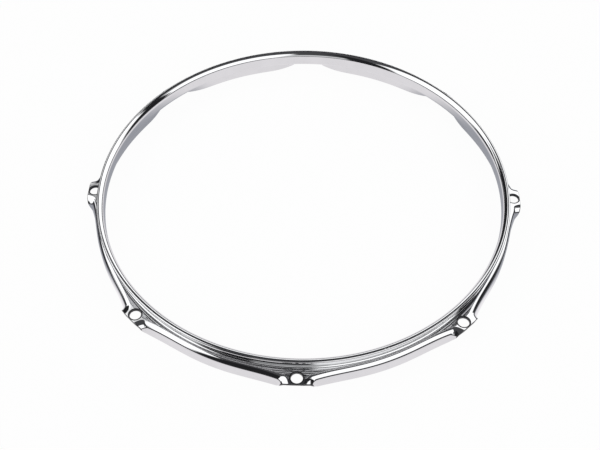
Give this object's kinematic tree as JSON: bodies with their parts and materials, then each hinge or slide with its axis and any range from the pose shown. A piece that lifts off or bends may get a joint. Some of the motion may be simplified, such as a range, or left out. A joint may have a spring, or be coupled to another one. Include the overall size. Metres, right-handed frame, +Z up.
{
  "type": "drum hoop",
  "caption": "Pressed steel triple-flanged drum hoop with ears for tension rods, butt welded and chrome plated.",
  "frame": {"origin": "on the hoop's axis, in the plane that the skirts' lower edges stand on", "axes": "+Z up the hoop's axis, from the skirts to the rolled lip; one ear points along -Y and the ears lie every 45 degrees from it"},
  "size_m": [0.3958, 0.3958, 0.0272],
  "materials": {
    "chrome": "bright chrome plate on polished steel",
    "chrome_weld": "chrome plate over a ground weld, slightly satin"
  },
  "bodies": {
    "root": {"hoop_strip": "chrome", "seam_weld": "chrome_weld"}
  },
  "joints": []
}
